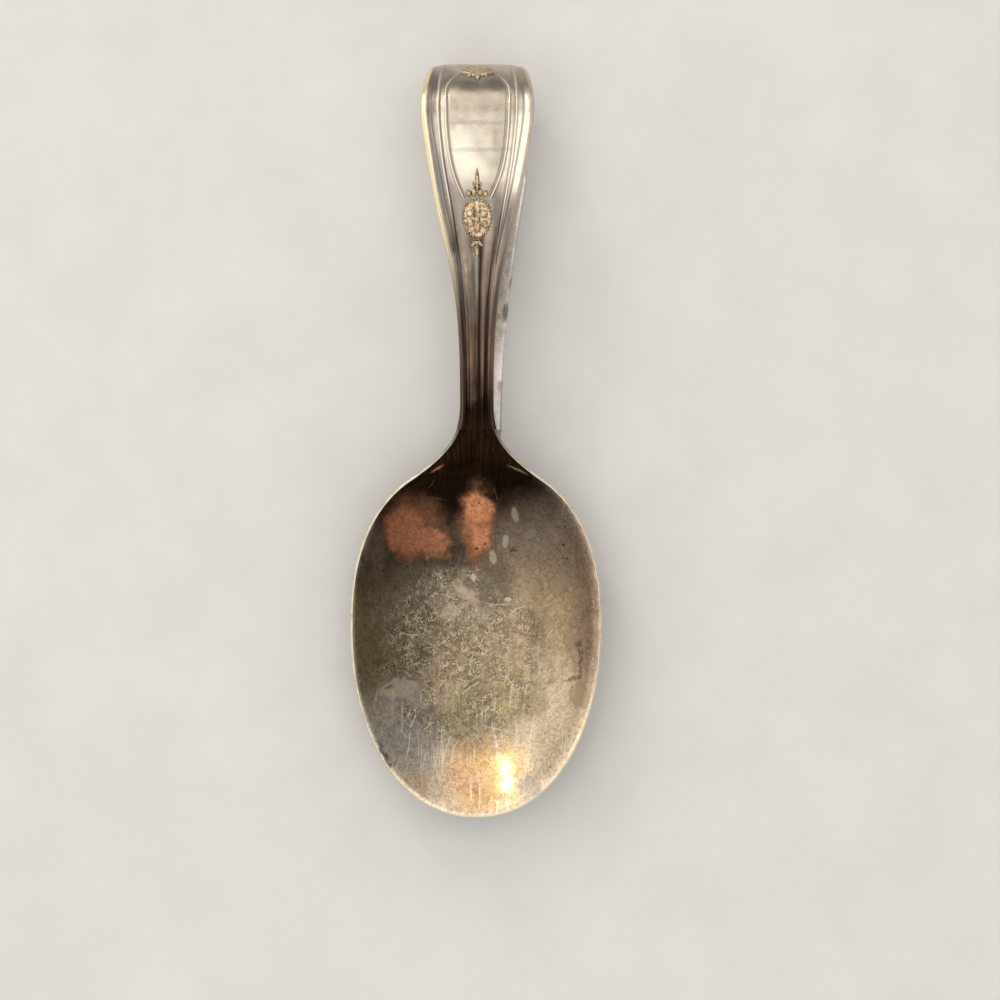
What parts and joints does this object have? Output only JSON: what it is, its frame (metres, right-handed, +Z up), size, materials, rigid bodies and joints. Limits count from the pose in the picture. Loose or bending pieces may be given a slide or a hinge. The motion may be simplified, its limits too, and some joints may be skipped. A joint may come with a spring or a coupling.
{
  "type": "baby spoon with loop handle",
  "caption": "Short feeding spoon with an oval bowl and an ornamented flat handle that bends back underneath into a finger loop.",
  "frame": {"origin": "middle of the footprint, on the surface that the spoon rests on", "axes": "+X to the right as seen from above with the handle away, +Y along the spoon from the bowl's tip to the loop, +Z up"},
  "size_m": [0.0318, 0.095, 0.0165],
  "materials": {
    "silver_bowl": "tarnished silver plate on nickel silver, satin",
    "silver_handle": "tarnished silver plate on nickel silver, satin",
    "golden_ornament": "worn plate with brown tarnish in the relief"
  },
  "bodies": {
    "root": {"bowl": "silver_bowl", "heel_drop": "silver_bowl", "stem": "silver_handle", "handle_panel": "silver_handle", "loop_bend": "silver_handle", "return_strap": "silver_handle", "medallion": "golden_ornament", "leaf_spray": "golden_ornament", "husk_pendant": "golden_ornament", "tip_palmette": "golden_ornament"}
  },
  "joints": []
}
